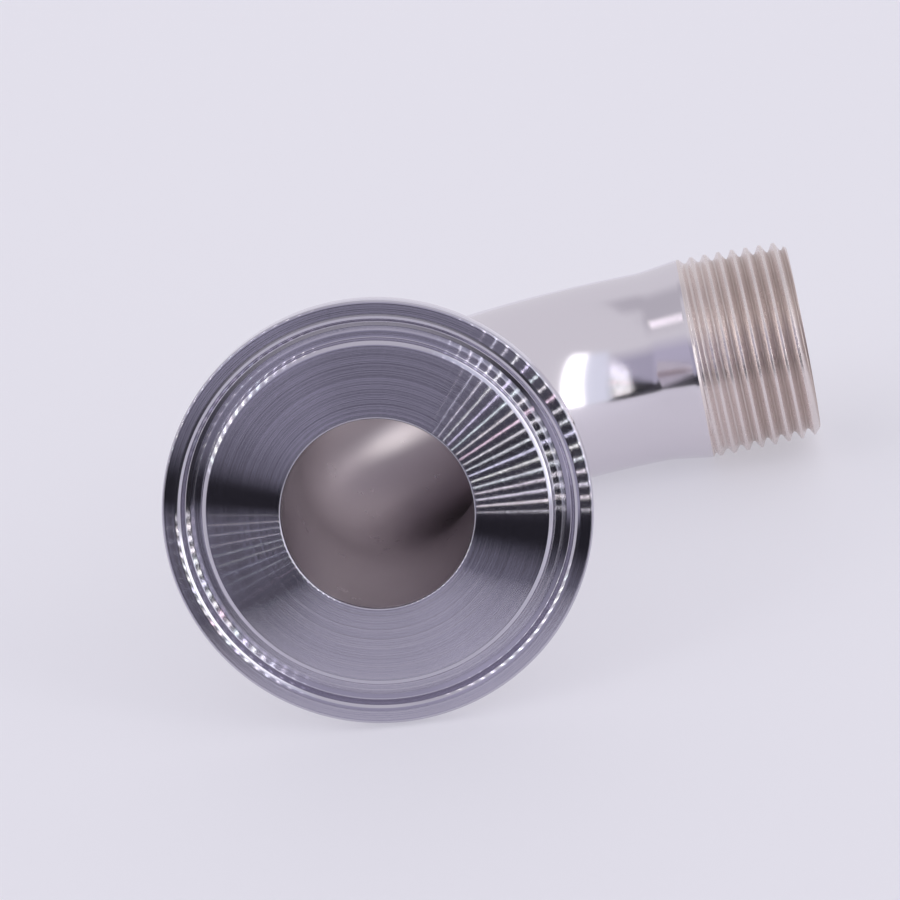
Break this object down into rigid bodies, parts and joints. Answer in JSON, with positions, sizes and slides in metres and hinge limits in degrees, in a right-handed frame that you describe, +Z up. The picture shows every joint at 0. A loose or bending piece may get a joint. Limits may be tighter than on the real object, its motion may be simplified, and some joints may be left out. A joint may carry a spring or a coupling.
{
  "type": "sanitary threaded elbow",
  "caption": "Hollow quarter-turn tube elbow with a grooved clamp ferrule at one end and a male taper thread at the other.",
  "frame": {"origin": "the middle of its footprint, on the surface that it lies on", "axes": "+Z up from the surface; the ferrule faces the front (-Y) and a little up; the threaded leg points to +X and a little up"},
  "size_m": [0.08, 0.0804, 0.0496],
  "materials": {
    "elbow_body": "stainless steel: tube mirror polished, ferrule face and thread turned bright"
  },
  "bodies": {
    "root": {"elbow_body": "elbow_body"}
  },
  "joints": []
}
